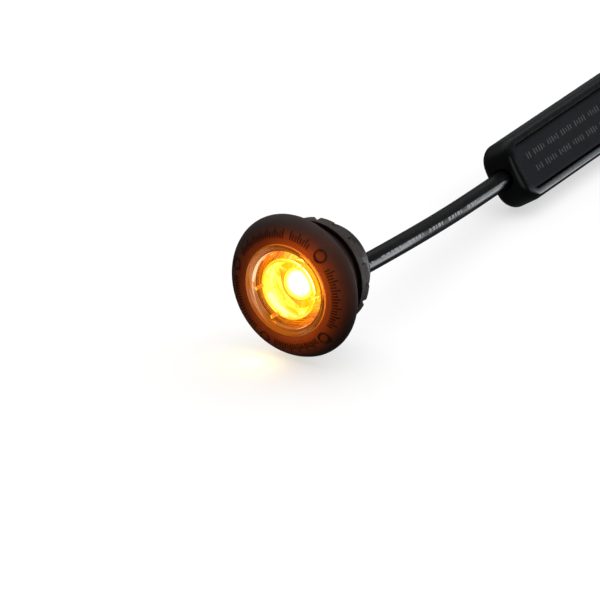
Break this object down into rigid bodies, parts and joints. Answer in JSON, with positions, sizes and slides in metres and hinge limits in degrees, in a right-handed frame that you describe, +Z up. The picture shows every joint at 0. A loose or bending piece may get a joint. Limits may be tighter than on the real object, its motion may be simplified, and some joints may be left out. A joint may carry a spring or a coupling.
{
  "type": "turn signal indicator",
  "caption": "Small round lit amber turn signal with a clear lens in a black rubber grommet, on a black cable with an inline electronic module and a coiled tail.",
  "frame": {"origin": "on the surface that the lamp stands on, below the middle of the lamp and its grommet", "axes": "+Y along the lamp's axis, from the lens to the cable; the lens faces -Y; +Z up"},
  "size_m": [0.0526, 0.2051, 0.029],
  "materials": {
    "grommet_rubber": "matt moulded rubber",
    "lens_clear": "clear moulded polycarbonate",
    "optic_clear": "clear moulded polycarbonate lit from behind",
    "reflector_chrome": "bright vacuum-metallised plastic",
    "led_amber": "amber light-emitting chip, lit",
    "board_laminate": "solder-masked laminate",
    "component_black": "moulded component body",
    "component_ceramic": "tantalum capacitor body",
    "component_ferrite": "sintered ferrite",
    "housing_plastic": "fine moulded texture",
    "potting_resin": "cast resin",
    "seal_rubber": "matt moulded rubber",
    "cable_jacket": "extruded PVC, satin",
    "core_red": "extruded PVC insulation",
    "core_black": "extruded PVC insulation",
    "tinned_copper": "tinned strands",
    "module_plastic": "satin moulded plastic",
    "cover_plastic": "fine satin label face",
    "tie_plastic": "ribbed nylon strip"
  },
  "bodies": {
    "lamp": {"lens": "lens_clear", "inner_optic": "optic_clear", "reflector": "reflector_chrome", "led_emitters": "led_amber", "led_board": "board_laminate", "board_resistors": "component_black", "board_diode": "component_black", "lamp_housing": "housing_plastic", "potting": "potting_resin", "cable_gland": "seal_rubber", "lead_live": "core_red", "lead_ground": "core_black", "cable_front": "cable_jacket", "module_case": "module_plastic", "module_cover": "cover_plastic", "module_potting": "potting_resin", "module_board": "board_laminate", "module_regulator": "component_black", "module_capacitor": "component_ceramic", "module_diode": "component_black", "module_inductor": "component_ferrite", "module_resistors": "component_black", "module_seal_front": "seal_rubber", "module_seal_rear": "seal_rubber", "module_leads_front": "core_red", "module_leads_rear": "core_red", "cable_tail": "cable_jacket", "cable_coil": "cable_jacket", "coil_tie": "tie_plastic", "cable_end": "cable_jacket", "core_live": "core_red", "core_ground": "core_black", "tip_live": "tinned_copper", "tip_ground": "tinned_copper"},
    "grommet_body": {"grommet": "grommet_rubber"}
  },
  "joints": [
    {"name": "grommet_slide", "type": "slide", "parent": "lamp", "child": "grommet_body", "axis": [0, 1, 0], "range_m": [0, 0.02]}
  ]
}
